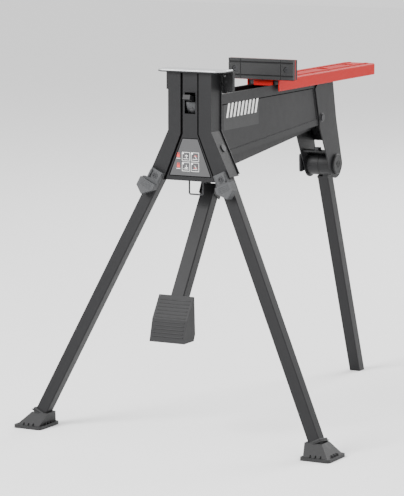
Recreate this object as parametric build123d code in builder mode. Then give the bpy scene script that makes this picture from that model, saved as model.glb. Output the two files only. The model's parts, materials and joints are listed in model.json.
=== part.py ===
"""Folding clamping sawhorse with a foot pedal: a head on two splayed legs, a beam, and a rear leg."""

import os
from math import cos, radians, sin, tan

from build123d import *

# ---- overall sizes (millimetres, +Z up, floor at Z = 0, head faces -Y, beam runs along +Y) ----
height = 870.0              # floor to the top of the silver plate
beam_reach = 693.0          # head face to the rear end of the beam
splay = 25.5                # front legs, outwards from vertical
lean = 7.9                  # front legs, forwards from vertical
rear_lean = 20.8            # rear leg, backwards from vertical

# ---- head ----
head_half = 57.0
head_depth = 46.0
head_wall = 2.5
panel_step = 2.5            # centre panel lies this far behind the flutes
bend_drop = 143.0           # where the sides turn outwards
flute_end_drop = 241.0
side_end_drop = 247.0
face_end_drop = 261.0
groove_half = 24.0
groove_bend_drop = 150.0
groove_end_half = 70.0
rear_plate_wall = 3.0
rear_lip = 3.0
leg_slot_half = 18.5
window_half = 14.0
window_top_drop = 53.0
window_height = 50.0
label_top_half = 21.0
label_bottom_half = 57.0
label_top_drop = 160.0
label_bottom_drop = 251.0

# ---- jaws ----
plate_half = 87.0
plate_front = 8.0           # overhang in front of the head face
plate_back = 52.0
plate_wall = 3.0
plate_chamfer = 15.0
flange_wall = 3.0
jaw_half = 88.0
jaw_height = 50.0
jaw_wall = 3.0
tray_rim = 8.0
pad_wall = 12.0
pad_side_gap = 0.3
pad_screw_x = 70.0
pad_groove_x = 55.0
facing_hole_x = 66.0
facing_hole_d = 6.5
facing_hole_drop = 15.0
jaw_opening = 302.0         # from closed to where the moving jaw stands
jaw_closed_gap = 0.5
backing_wall = 9.0

# ---- sliding arm ----
arm_length = 560.0
beam_half = 34.0
arm_side_clear = 10.0       # arm's side beyond the beam's
arm_half = beam_half + arm_side_clear
arm_wall = 2.5
arm_drop = 50.0
arm_skirt = 28.0
drive_bar_half = 6.0
drive_bar_height = 10.0
drive_bar_drop = 68.0

# ---- beam ----
beam_wall = 2.5
beam_top_drop = 64.0
beam_front_depth = 156.0    # beam side height at the head
beam_slope = 3.5            # degrees, underside rising to the rear
beam_flange = 8.0
emboss = 1.0
belly_half = 17.0
belly_end_ahead = 53.0
belly_wall = 2.5

# ---- rear bracket and leg ----
cheek_wall = 3.0
hip_behind = 31.0           # hip bolt behind the beam's rear end
hip_y = beam_reach + hip_behind
bracket_bolt_ahead = 54.0   # bracket bolts ahead of the beam's rear end
bracket_bolt_drop = 166.0
hip_drop = 293.0
cheek_round = 36.0
drum_radius = 30.0
drum_gap = 0.5
hip_bolt_radius = 6.0
stop_pin_x = 12.0
stop_pin_drop = 90.0
stop_pin_radius = 4.0
running_gap = 0.1
cap_radius = 26.0
cap_wall = 6.0

# ---- legs ----
tube = 30.0
tube_wall = 1.6
tube_round = 3.0
leg_pivot_x = 58.0
leg_pivot_y = 24.5
leg_pivot_drop = 190.0
leg_top_over = 12.5
leg_pin_radius = 5.0
foot_width = 76.0
foot_depth = 91.0
foot_slab = 8.0
foot_height = 36.0
foot_top = 46.0
foot_sole = 4.0

# ---- pedal ----
pedal_pivot_y = 164.0
pedal_pivot_drop = 235.0
pedal_cheek_wall = 3.0
pedal_cheek_gap = 0.4
pedal_tube = 30.0
pedal_angle = 33.0          # arm, forwards from vertical
pedal_width = 92.0
pedal_arm_length = 322.0
pedal_pin_radius = 5.0
spool_pin_radius = 4.0

# ---- derived places ----
front_foot_x = leg_pivot_x + (height - leg_pivot_drop) * tan(radians(splay))
front_foot_y = leg_pivot_y - (height - leg_pivot_drop) * tan(radians(lean))
rear_foot_y = hip_y + (height - hip_drop) * tan(radians(rear_lean))
front_reach = front_foot_y - foot_depth / 2
rear_reach = rear_foot_y + tube / 2 / cos(radians(rear_lean))
head_y = -(front_reach + rear_reach) / 2      # puts the footprint's middle at Y = 0


def up(drop):
    """Height above the floor of a level given as a drop from the top plate."""
    return height - drop


def at(y):
    """Y of a place given as a distance behind the head face."""
    return head_y + y




def side_points(points):
    """Turn (distance behind the face, drop) pairs into points of the YZ plane."""
    return [(at(y), up(drop)) for y, drop in points]


def face_plane(y):
    """Plane facing the front at a distance behind the head face, its Y axis up."""
    return Plane(origin=(0, at(y), 0), x_dir=(1, 0, 0), z_dir=(0, -1, 0))


def mirrored(piece):
    """The same piece on the left-hand side."""
    with BuildPart() as other:
        mirror(piece.part, about=Plane.YZ)
    return other


pieces = {}


def keep(name, piece):
    """Give a finished piece its name."""
    piece.part.label = name
    pieces[name] = piece
    return piece


# ---------------------------------------------------------------- head
flare = tan(radians(splay))


def head_outline(grow, bottom_drop, top_drop):
    """Half-symmetric outline of the head in the XZ plane, as a face."""
    half = head_half + grow
    low = half + (bottom_drop - bend_drop) * flare
    Polygon(
            (-half, up(top_drop)), (half, up(top_drop)), (half, up(bend_drop)),
            (low, up(bottom_drop)), (-low, up(bottom_drop)), (-half, up(bend_drop)), align=None)


def centre_outline(grow, top_drop, bottom_drop):
    """Outline of the centre panel between the two flutes."""
    half = groove_half + grow
    slope = (groove_end_half - groove_half) / (face_end_drop - groove_bend_drop)
    low = half + (bottom_drop - groove_bend_drop) * slope
    Polygon(
            (-half, up(top_drop)), (half, up(top_drop)), (half, up(groove_bend_drop)),
            (low, up(bottom_drop)), (-low, up(bottom_drop)), (-half, up(groove_bend_drop)), align=None)


def label_outline(grow):
    """Trapezoid of the label field."""
    Polygon(
            (-label_top_half - grow, up(label_top_drop)), (label_top_half + grow, up(label_top_drop)),
            (label_bottom_half + grow, up(label_bottom_drop)),
            (-label_bottom_half - grow, up(label_bottom_drop)), align=None)


head_top_drop = plate_wall + flange_wall
below = face_end_drop + 20.0



def block(x, y, drop, mode=Mode.ADD):
    """Box from three (low, high) pairs: x, distance behind the face, and drop."""
    middle = ((x[0] + x[1]) / 2, at((y[0] + y[1]) / 2), up((drop[0] + drop[1]) / 2))
    with Locations(middle):
        Box(x[1] - x[0], y[1] - y[0], drop[1] - drop[0], mode=mode)


def push(plane, sketch, amount, mode=Mode.ADD):
    """Extrude a finished sketch along its plane's normal."""
    extrude(sketch.sketch, amount=amount, dir=plane.z_dir, mode=mode)


def rod_x(y, drop, radius, x0, x1, mode=Mode.ADD):
    """Cylinder along X."""
    plane = Plane(origin=(x0, at(y), up(drop)), x_dir=(0, 1, 0), z_dir=(1, 0, 0))
    with BuildSketch(plane) as disc:
        Circle(radius)
    push(plane, disc, x1 - x0, mode)


def rod_y(x, drop, radius, y0, y1, mode=Mode.ADD):
    """Cylinder along Y, towards the rear."""
    plane = Plane(origin=(x, at(y0), up(drop)), x_dir=(-1, 0, 0), z_dir=(0, 1, 0))
    with BuildSketch(plane) as disc:
        Circle(radius)
    push(plane, disc, y1 - y0, mode)


def rod_z(x, y, radius, drop0, drop1, mode=Mode.ADD, sides=0):
    """Upright cylinder, or hexagon where sides is 6."""
    plane = Plane(origin=(x, at(y), up(drop1)))
    with BuildSketch(plane) as disc:
        if sides:
            RegularPolygon(radius, sides)
        else:
            Circle(radius)
    push(plane, disc, drop1 - drop0, mode)


def side_sheet(points, x0, x1, mode=Mode.ADD):
    """Sheet in the YZ plane from (distance behind the face, drop) points."""
    plane = Plane(origin=(x0, 0, 0), x_dir=(0, 1, 0), z_dir=(1, 0, 0))
    with BuildSketch(plane) as outline:
        Polygon(*side_points(points), align=None)
    push(plane, outline, x1 - x0, mode)


# ---- leg frames: origin on the hinge pin, Z down the leg, Y forwards, X outwards along the pin
leg_frame = Plane(
    origin=(leg_pivot_x, at(leg_pivot_y), up(leg_pivot_drop)),
    x_dir=(cos(radians(splay)), 0, sin(radians(splay))),
    z_dir=(
        front_foot_x - leg_pivot_x, front_foot_y - leg_pivot_y, -(height - leg_pivot_drop),
    ),
)
leg_length = Vector(
    front_foot_x - leg_pivot_x, front_foot_y - leg_pivot_y, height - leg_pivot_drop
).length
leg_stop = leg_length - foot_sole / cos(radians(splay)) - tube / 2 * tan(radians(splay)) - 3.0


def leg_plane(distance, x=0.0, y=0.0):
    """Plane across the right leg at a distance from its pin."""
    return Plane(
        origin=leg_frame.from_local_coords((x, y, distance)),
        x_dir=leg_frame.x_dir, z_dir=leg_frame.z_dir,
    )


def leg_block(x, y, distance, mode=Mode.ADD):
    """Box in the right leg's frame, from (low, high) pairs."""
    plane = leg_plane(distance[0], (x[0] + x[1]) / 2, (y[0] + y[1]) / 2)
    with BuildSketch(plane) as outline:
        Rectangle(x[1] - x[0], y[1] - y[0])
    push(plane, outline, distance[1] - distance[0], mode)


def leg_pin_rod(radius, x0, x1, mode=Mode.ADD):
    """Cylinder along the right leg's hinge pin."""
    plane = Plane(
        origin=leg_frame.from_local_coords((x0, 0, 0)), z_dir=leg_frame.x_dir,
    )
    with BuildSketch(plane) as disc:
        Circle(radius)
    push(plane, disc, x1 - x0, mode)


channel_half = tube / 2 + 1.8       # space beside the leg inside the head
outer_wall_x = (leg_pivot_drop - bend_drop) * flare + head_half - leg_pivot_x
outer_wall_x = outer_wall_x * cos(radians(splay))   # head side, measured along the pin

with BuildPart() as head_front_shell:
    with BuildSketch(face_plane(0)):
        head_outline(0, side_end_drop, head_top_drop)
    extrude(amount=-head_depth)
    with BuildSketch(face_plane(head_wall)):
        head_outline(-head_wall, below, head_top_drop - 1)
    extrude(amount=-head_depth, mode=Mode.SUBTRACT)
    with BuildSketch(face_plane(head_wall)):
        centre_outline(head_wall, head_top_drop, face_end_drop)
    extrude(amount=-panel_step)
    with BuildSketch(face_plane(0)):
        centre_outline(0, head_top_drop - 1, below)
    extrude(amount=-panel_step, mode=Mode.SUBTRACT)
    leg_clear = (-channel_half, channel_half)
    flute_end = (flute_end_drop - leg_pivot_drop) / cos(radians(splay))
    leg_block(leg_clear, (0, 60), (flute_end, flute_end + 80), mode=Mode.SUBTRACT)
    mirror(head_front_shell.part, about=Plane.YZ, mode=Mode.INTERSECT)
    block((-window_half, window_half), (-1, 12), (window_top_drop, window_top_drop + window_height),
          mode=Mode.SUBTRACT)
    with BuildSketch(face_plane(panel_step)):
        label_outline(0)
    extrude(amount=-0.8, mode=Mode.SUBTRACT)
    leg_pin_rod(leg_pin_radius, 0, 60, mode=Mode.SUBTRACT)
    mirror(head_front_shell.part, about=Plane.YZ, mode=Mode.INTERSECT)
keep("head_front_shell", head_front_shell)

with BuildPart() as head_rear_shell:
    with BuildSketch(face_plane(head_depth)):
        head_outline(rear_lip, side_end_drop - 4, head_top_drop)
    extrude(amount=-rear_plate_wall)
    block((-beam_half, beam_half), (head_depth - 1, head_depth + 9), (beam_top_drop, 150.0),
          mode=Mode.SUBTRACT)
    leg_block((-leg_slot_half, leg_slot_half), (-60, 60), (-leg_slot_half - 4, 120), mode=Mode.SUBTRACT)
    mirror(head_rear_shell.part, about=Plane.YZ, mode=Mode.INTERSECT)
keep("head_rear_shell", head_rear_shell)

with BuildPart() as leg_hinge_cheek:
    with BuildSketch(Plane(origin=leg_frame.from_local_coords((-channel_half - 2.5, 0, 0)),
                           x_dir=(0, 1, 0), z_dir=leg_frame.x_dir)):
        with Locations((head_depth / 2 + 2.5 - leg_pivot_y, 4)):
            Rectangle(head_depth - 5.0, 52)
    extrude(amount=2.5)
    leg_pin_rod(leg_pin_radius, -40, 0, mode=Mode.SUBTRACT)
keep("leg_hinge_cheek_right", leg_hinge_cheek)
keep("leg_hinge_cheek_left", mirrored(leg_hinge_cheek))

with BuildPart() as leg_pin:
    leg_pin_rod(leg_pin_radius, -channel_half - 2.5, outer_wall_x)
    leg_pin_rod(leg_pin_radius + 4, outer_wall_x, outer_wall_x + 2.5)
    leg_pin_rod(leg_pin_radius + 3, -channel_half - 5.0, -channel_half - 2.5)
keep("leg_hinge_pin_right", leg_pin)
keep("leg_hinge_pin_left", mirrored(leg_pin))


def plate_outline():
    """Top plate outline with chamfered front corners."""
    Polygon(
            (-plate_half, at(plate_back)), (-plate_half, at(plate_chamfer - plate_front)),
            (-plate_half + plate_chamfer, at(-plate_front)), (plate_half - plate_chamfer, at(-plate_front)),
            (plate_half, at(plate_chamfer - plate_front)), (plate_half, at(plate_back)), align=None)


with BuildPart() as head_top_flange:
    with BuildSketch(Plane.XY.offset(up(head_top_drop))):
        plate_outline()
    extrude(amount=flange_wall)
keep("head_top_flange", head_top_flange)

with BuildPart() as top_plate:
    with BuildSketch(Plane.XY.offset(up(plate_wall))):
        plate_outline()
    extrude(amount=plate_wall)
    fillet(top_plate.faces().sort_by(Axis.Z)[-1].edges(), radius=0.8)
keep("top_plate", top_plate)

# ---------------------------------------------------------------- jaws
jaw_back_y = head_depth + rear_plate_wall
fixed_pad_face = jaw_back_y + jaw_wall + pad_wall
moving_pad_face = fixed_pad_face + jaw_closed_gap + jaw_opening
jaw_low = head_top_drop + jaw_height - 4.0


def pad_solid(face_y, direction, top_drop, low_drop, half):
    """Jaw pad with its V-grooves and screw holes; direction is the way its face looks."""
    with BuildPart() as pad:
        back_y = face_y - direction * pad_wall
        block((-half, half), sorted((face_y, back_y)), (top_drop, low_drop))
        for drop in (top_drop + 9.0, low_drop - 9.0):
            side = Plane(origin=(-half - 1, at(face_y), up(drop)), x_dir=(0, 1, 0), z_dir=(1, 0, 0))
            with BuildSketch(side):
                Rectangle(3.2, 3.2, rotation=45)
            extrude(amount=2 * half + 2, mode=Mode.SUBTRACT)
        for x in (-pad_groove_x, pad_groove_x):
            block((x - 1, x + 1), sorted((face_y, face_y - direction * 1.4)), (top_drop, low_drop),
                  mode=Mode.SUBTRACT)
        middle = (top_drop + low_drop) / 2
        for x in (-pad_screw_x, pad_screw_x):
            rod_y(x, middle, 7.5, *sorted((face_y, face_y - direction * 5.0)), mode=Mode.SUBTRACT)
            rod_y(x, middle, 3.0, *sorted((face_y, back_y)), mode=Mode.SUBTRACT)
    return pad


def pad_screws(face_y, direction, top_drop, low_drop, wall):
    """The two screws of a jaw pad, through the pad and its plate."""
    with BuildPart() as screws:
        middle = (top_drop + low_drop) / 2
        head = face_y - direction * 2.0
        under = face_y - direction * 5.0
        tip = face_y - direction * (pad_wall + wall)
        for x in (-pad_screw_x, pad_screw_x):
            rod_y(x, middle, 7.0, *sorted((head, under)))
            rod_y(x, middle, 3.0, *sorted((under, tip)))
            seat = Plane(origin=(x, at(head), up(middle)), x_dir=(1, 0, 0), z_dir=(0, direction, 0))
            with BuildSketch(seat):
                RegularPolygon(3.0, 6)
            extrude(amount=-1.5, mode=Mode.SUBTRACT)
    return screws


with BuildPart() as fixed_jaw_plate:
    block((-jaw_half, jaw_half), (jaw_back_y, jaw_back_y + jaw_wall + tray_rim), (head_top_drop, jaw_low))
    block((-jaw_half + jaw_wall, jaw_half - jaw_wall), (jaw_back_y + jaw_wall, jaw_back_y + 30),
          (head_top_drop - 1, jaw_low + 1), mode=Mode.SUBTRACT)
    for x in (-pad_screw_x, pad_screw_x):
        rod_y(x, (head_top_drop + jaw_low) / 2, 3.0, jaw_back_y, jaw_back_y + jaw_wall, mode=Mode.SUBTRACT)
    for x in (-facing_hole_x, facing_hole_x):
        rod_y(x, facing_hole_drop, facing_hole_d / 2, jaw_back_y, jaw_back_y + jaw_wall, mode=Mode.SUBTRACT)
keep("fixed_jaw_plate", fixed_jaw_plate)
fixed_half = jaw_half - jaw_wall - pad_side_gap
fixed_pad = pad_solid(fixed_pad_face, 1, head_top_drop, jaw_low, fixed_half)
with fixed_pad:
    for x in (-facing_hole_x, facing_hole_x):
        rod_y(x, facing_hole_drop, facing_hole_d / 2, jaw_back_y, fixed_pad_face, mode=Mode.SUBTRACT)
keep("fixed_jaw_pad", fixed_pad)
keep("fixed_jaw_screws", pad_screws(fixed_pad_face, 1, head_top_drop, jaw_low, jaw_wall))

moving_low = jaw_height
moving_pad = pad_solid(moving_pad_face, -1, 0.0, moving_low, jaw_half)
keep("moving_jaw_pad", moving_pad)
keep("moving_jaw_screws", pad_screws(moving_pad_face, -1, 0.0, moving_low, jaw_wall))
plate_y = moving_pad_face + pad_wall
arm_y = plate_y + jaw_wall
arm_end = arm_y + arm_length

with BuildPart() as moving_jaw_plate:
    block((-jaw_half, jaw_half), (plate_y, arm_y), (0, moving_low + 2))
    for x in (-pad_screw_x, pad_screw_x):
        rod_y(x, moving_low / 2, 3.0, plate_y, arm_y, mode=Mode.SUBTRACT)
keep("moving_jaw_plate", moving_jaw_plate)

with BuildPart() as moving_jaw_backing:
    block((-jaw_half, jaw_half), (arm_y, arm_y + backing_wall), (1.0, arm_drop))
    block((-jaw_half + 3, jaw_half - 3), (arm_y + 3, arm_y + backing_wall + 1), (4.0, arm_drop + 1),
          mode=Mode.SUBTRACT)
keep("moving_jaw_backing", moving_jaw_backing)

with BuildPart() as jaw_gussets:
    for x in (-32.0, 32.0):
        side_sheet([(arm_y + 3, arm_drop), (arm_y + 56, arm_drop), (arm_y + 50, arm_drop - 9),
                    (arm_y + 14, arm_drop - 30), (arm_y + 3, arm_drop - 34)], x - 2, x + 2)
keep("jaw_gussets", jaw_gussets)

# ---------------------------------------------------------------- sliding arm
rib_width = 9.0
rib_rise = 1.5
window_places = (340.0, 486.0)
slot_places = (210.0, 300.0, 420.0, 520.0)


def arm_window(y):
    """Trapezoid window through the arm's top."""
    plane = Plane.XY.offset(up(arm_drop + arm_wall + 1))
    with BuildSketch(plane) as outline:
        Polygon((-9, at(y + 16)), (9, at(y + 16)), (14, at(y - 14)), (-14, at(y - 14)), align=None)
    push(plane, outline, arm_wall + rib_rise + 2, Mode.SUBTRACT)


with BuildPart() as sliding_arm:
    block((-arm_half, arm_half), (arm_y, arm_end), (arm_drop, arm_drop + arm_skirt))
    fillet(sliding_arm.edges().filter_by(Axis.Y).group_by(Axis.Z)[-1], radius=4.0)
    block((-arm_half + arm_wall, arm_half - arm_wall), (arm_y - 1, arm_end + 1),
          (arm_drop + arm_wall, arm_drop + arm_skirt + 1), mode=Mode.SUBTRACT)
    for x in (-24.0, 24.0):
        block((x - rib_width / 2, x + rib_width / 2), (arm_y + 62, arm_end - 8),
              (arm_drop - rib_rise, arm_drop))
    block((-beam_half + 8, beam_half - 8), (arm_y, arm_y + arm_wall),
          (arm_drop + arm_wall, beam_top_drop + 2))
    for place in window_places:
        arm_window(arm_y + place)
    for place in slot_places:
        for x in (-35.0, 35.0):
            block((x - 2, x + 2), (arm_y + place - 7, arm_y + place + 7), (arm_drop - 1, arm_drop + 4),
                  mode=Mode.SUBTRACT)
keep("sliding_arm", sliding_arm)

bar_hang = 12.0
with BuildPart() as drive_bar:
    block((-drive_bar_half, drive_bar_half), (arm_y + 12, arm_end - 12),
          (drive_bar_drop, drive_bar_drop + drive_bar_height))
    for y in (arm_y + 20, arm_end - 20):
        block((-drive_bar_half, drive_bar_half), (y - bar_hang / 2, y + bar_hang / 2),
              (arm_drop + arm_wall, drive_bar_drop))
keep("drive_bar", drive_bar)

shoe_length = 46.0
with BuildPart() as arm_shoes:
    for side in (-1, 1):
        x = sorted((side * (beam_half - beam_flange), side * (arm_half - arm_wall)))
        block(x, (arm_y + 6, arm_y + 6 + shoe_length),
              (arm_drop + arm_wall, beam_top_drop - running_gap * 3))
keep("arm_front_shoes", arm_shoes)

# ---------------------------------------------------------------- beam
beam_start = head_depth + rear_plate_wall
beam_end = beam_reach - 8.0


def beam_depth_at(y):
    """Drop of the beam's underside at a distance behind the head face."""
    return beam_top_drop + beam_front_depth - (y - head_depth) * tan(radians(beam_slope))


panel_front = 80.0
panel_back = beam_reach - 101.0
panel_top_drop = 88.0
panel_rise = 16.0


def beam_panel(x0, x1):
    """Pressed panel on one side of the beam."""
    side_sheet([(panel_front, panel_top_drop), (panel_back, panel_top_drop),
                (panel_back + 24, beam_depth_at(panel_back + 24) - panel_rise),
                (panel_front, beam_depth_at(panel_front) - panel_rise + 2)], x0, x1, mode=Mode.SUBTRACT)


with BuildPart() as beam_shell:
    side_sheet([(beam_start, beam_top_drop), (beam_end, beam_top_drop), (beam_end, beam_depth_at(beam_end)),
                (beam_start, beam_depth_at(beam_start))], -beam_half, beam_half)
    inner = beam_half - beam_wall
    side_sheet([(beam_start - 1, beam_top_drop + beam_wall), (beam_end + 1, beam_top_drop + beam_wall),
                (beam_end + 1, beam_depth_at(beam_end) - beam_wall),
                (beam_start - 1, beam_depth_at(beam_start) - beam_wall)], -inner, inner, mode=Mode.SUBTRACT)
    flange = beam_half - beam_flange
    block((-flange, flange), (beam_start - 1, beam_end + 1),
          (beam_top_drop - 1, beam_top_drop + beam_wall + 1), mode=Mode.SUBTRACT)
    beam_panel(beam_half - emboss, beam_half + 1)
    beam_panel(-beam_half - 1, -beam_half + emboss)
    block((-5, 5), (62, 108), (beam_depth_at(90) - 12, beam_depth_at(90) + 8), mode=Mode.SUBTRACT)
keep("beam_shell", beam_shell)

with BuildPart() as belly_rail:
    front_y, back_y = 142.0, beam_reach - belly_end_ahead
    outline = [(front_y, beam_depth_at(front_y)), (back_y, beam_depth_at(back_y)),
               (back_y, beam_depth_at(back_y) + 10), (190, beam_depth_at(190) + 30),
               (pedal_pivot_y, pedal_pivot_drop + 14), (front_y, pedal_pivot_drop + 8)]
    side_sheet(outline, -belly_half, belly_half)
    side_sheet([(front_y - 1, beam_depth_at(front_y) - 1), (back_y + 1, beam_depth_at(back_y) - 1),
                (back_y + 1, beam_depth_at(back_y) + 7.5), (190, beam_depth_at(190) + 27.5),
                (pedal_pivot_y, pedal_pivot_drop + 30), (front_y - 1, pedal_pivot_drop + 30)],
               -belly_half + belly_wall, belly_half - belly_wall, mode=Mode.SUBTRACT)
    rod_x(pedal_pivot_y, pedal_pivot_drop, pedal_pin_radius, -40, 40, mode=Mode.SUBTRACT)
keep("belly_rail", belly_rail)

pad_top = arm_drop + arm_wall + running_gap * 3
with BuildPart() as beam_slide_pads:
    for y in (beam_reach - 95, beam_reach - 65):
        for side in (-1, 1):
            x = sorted((side * (beam_half - beam_flange), side * beam_half))
            block(x, (y - 12, y + 12), (pad_top, beam_top_drop))
keep("beam_slide_pads", beam_slide_pads)

# ---------------------------------------------------------------- rear bracket
cheek_in = beam_half
cheek_out = beam_half + cheek_wall
cheek_top = arm_drop + arm_wall + 1.0
rear_top = (beam_reach + 4, cheek_top)
bolt_y = beam_reach - bracket_bolt_ahead
rear_knee = (hip_y, 176.0)


def cheek_sheet(x0, x1):
    """One side plate of the rear bracket, round at the hip bolt."""
    plane = Plane(origin=(x0, 0, 0), x_dir=(0, 1, 0), z_dir=(1, 0, 0))
    with BuildSketch(plane) as outline:
        Polygon(*side_points([
                (hip_y - cheek_round * 0.9, hip_drop + 15), (beam_reach - 65, 190.0),
                (beam_reach - 69, 172.0), (beam_reach - 93, 90.0), (beam_reach - 49, cheek_top),
                rear_top, rear_knee, (hip_y + cheek_round * 0.96, hip_drop - 9)]), align=None)
        with Locations((at(hip_y), up(hip_drop))):
            Circle(cheek_round)
    push(plane, outline, x1 - x0)


with BuildPart() as rear_bracket:
    cheek_sheet(-cheek_out, -cheek_in)
    cheek_sheet(cheek_in, cheek_out)
    web = [rear_top, rear_knee, (hip_y + 16, 236.0), (hip_y + 13, 236.0),
           (rear_knee[0] - 3, 176.5), (rear_top[0] - 3, cheek_top)]
    side_sheet(web, -cheek_in, cheek_in)
    rod_x(hip_y, hip_drop, hip_bolt_radius, -cheek_out - 1, cheek_out + 1, mode=Mode.SUBTRACT)
    rod_x(bolt_y, bracket_bolt_drop, 4.0, -cheek_out - 1, cheek_out + 1, mode=Mode.SUBTRACT)
    rod_y(stop_pin_x, stop_pin_drop, stop_pin_radius + running_gap, beam_reach - 20, beam_reach + 40,
          mode=Mode.SUBTRACT)
    block((-drive_bar_half - 2, drive_bar_half + 2), (beam_reach - 20, beam_reach + 12),
          (cheek_top - 1, drive_bar_drop + drive_bar_height + 2), mode=Mode.SUBTRACT)
keep("rear_bracket", rear_bracket)

with BuildPart() as bracket_bolts:
    for side in (-1, 1):
        rod_x(bolt_y, bracket_bolt_drop, 4.0, *sorted((side * cheek_in, side * cheek_out)))
        rod_x(bolt_y, bracket_bolt_drop, 9.0, *sorted((side * cheek_out, side * (cheek_out + 4))))
keep("bracket_bolts", bracket_bolts)

stop_y = (beam_reach - 21, beam_reach + 11)
stop_bolt_y = beam_reach - 9
stop_drop = 256.0
stop_wall = 4.0
with BuildPart() as stop_plate:
    block((-cheek_in, cheek_in), stop_y, (stop_drop, stop_drop + stop_wall))
    rod_z(4.0, stop_bolt_y, 4.0, stop_drop - 1, stop_drop + stop_wall + 1, mode=Mode.SUBTRACT)
keep("rear_stop_plate", stop_plate)
with BuildPart() as stop_bolt:
    rod_z(4.0, stop_bolt_y, 10.0, stop_drop - 8, stop_drop - 2, sides=6)
    rod_z(4.0, stop_bolt_y, 11.0, stop_drop - 2, stop_drop)
    rod_z(4.0, stop_bolt_y, 4.0, stop_drop, stop_drop + stop_wall)
keep("rear_stop_bolt", stop_bolt)

with BuildPart() as index_drum:
    rod_x(hip_y, hip_drop, drum_radius, -cheek_in, -drum_gap / 2)
    rod_x(hip_y, hip_drop, hip_bolt_radius, -cheek_in - 1, 1, mode=Mode.SUBTRACT)
    inner_rims = index_drum.edges().filter_by(GeomType.CIRCLE).group_by(Axis.X)[-1]
    fillet(inner_rims.sort_by(SortBy.RADIUS)[-1], radius=1.5)
keep("index_drum", index_drum)

with BuildPart() as hip_bolt:
    rod_x(hip_y, hip_drop, hip_bolt_radius, -cheek_out, cheek_out)
    rod_x(hip_y, hip_drop, 10.0, -cheek_out - 13, -cheek_out, )
keep("hip_bolt", hip_bolt)

with BuildPart() as hip_cap:
    rod_x(hip_y, hip_drop, cap_radius, cheek_out, cheek_out + cap_wall)
    fillet(hip_cap.edges().filter_by(GeomType.CIRCLE).sort_by(Axis.X)[-1], radius=2.0)
    rod_x(hip_y, hip_drop, 9.0, cheek_out + cap_wall - 1.5, cheek_out + cap_wall + 1, mode=Mode.SUBTRACT)
    rod_x(hip_y, hip_drop, 5.5, cheek_out + cap_wall - 1.5, cheek_out + cap_wall)
keep("hip_cap", hip_cap)

lever_x = (-cheek_out - 6.5, -cheek_out - 2.0)
with BuildPart() as hip_lever:
    side_sheet([(hip_y - 52, hip_drop - 28), (hip_y + 12, hip_drop - 14), (hip_y + 14, hip_drop + 14),
                (hip_y - 50, hip_drop + 20)], *lever_x)
    fillet(hip_lever.edges().filter_by(Axis.X), radius=5.0)
    rod_x(hip_y, hip_drop, 10.0 + running_gap, -60, 0, mode=Mode.SUBTRACT)
keep("hip_lock_lever", hip_lever)

with BuildPart() as stop_pin:
    rod_y(stop_pin_x, stop_pin_drop, stop_pin_radius, beam_reach - 6, beam_reach + 14)
    rod_y(stop_pin_x, stop_pin_drop, stop_pin_radius + 3, beam_reach + 14, beam_reach + 24)
    fillet(stop_pin.edges().filter_by(GeomType.CIRCLE).sort_by(Axis.Y)[-1], radius=2.0)
keep("arm_stop_pin", stop_pin)

# ---------------------------------------------------------------- rear leg
rear_frame = Plane(
    origin=(0, at(hip_y), up(hip_drop)), x_dir=(1, 0, 0),
    z_dir=(0, rear_foot_y - hip_y, -(height - hip_drop)),
)
rear_length = Vector(0, rear_foot_y - hip_y, height - hip_drop).length
rear_stop = rear_length - tube / 2 * tan(radians(rear_lean)) - 2.0


def rear_plane(distance):
    """Plane across the rear leg at a distance from the hip bolt."""
    return Plane(origin=rear_frame.from_local_coords((0, 0, distance)),
                 x_dir=(1, 0, 0), z_dir=rear_frame.z_dir)


def tube_section(size, wall, corner):
    """Square tube section."""
    RectangleRounded(size, size, corner)
    RectangleRounded(size - 2 * wall, size - 2 * wall, max(corner - wall, 0.5), mode=Mode.SUBTRACT)


neck_start = drum_radius + 1.0
with BuildPart() as rear_leg_head:
    rod_x(hip_y, hip_drop, drum_radius, drum_gap / 2, cheek_in - 0.3)
    with BuildSketch(rear_plane(0)):
        with Locations((tube / 4 + drum_gap, 0)):
            Rectangle(tube / 2 - 2 * drum_gap, tube)
    extrude(amount=neck_start + 2)
    with BuildSketch(rear_plane(neck_start)):
        Rectangle(tube, tube)
    extrude(amount=5.0)
    rod_x(hip_y, hip_drop, hip_bolt_radius + running_gap, -1, cheek_in + 1, mode=Mode.SUBTRACT)
keep("rear_leg_head", rear_leg_head)

with BuildPart() as rear_leg_tube:
    with BuildSketch(rear_plane(neck_start + 5.0)):
        tube_section(tube, tube_wall, tube_round)
    extrude(amount=rear_stop - neck_start - 5.0)
keep("rear_leg_tube", rear_leg_tube)

with BuildPart() as rear_leg_cap:
    with BuildSketch(rear_plane(rear_stop)):
        RectangleRounded(tube, tube, tube_round)
    extrude(amount=40)
    split(bisect_by=Plane.XY)
keep("rear_leg_end_cap", rear_leg_cap)

# ---------------------------------------------------------------- front legs
with BuildPart() as front_leg:
    with BuildSketch(leg_plane(-leg_top_over)):
        tube_section(tube, tube_wall, tube_round)
    extrude(amount=leg_stop + leg_top_over)
    leg_pin_rod(leg_pin_radius + running_gap, -40, 40, mode=Mode.SUBTRACT)
keep("front_leg_tube_right", front_leg)
keep("front_leg_tube_left", mirrored(front_leg))

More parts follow.
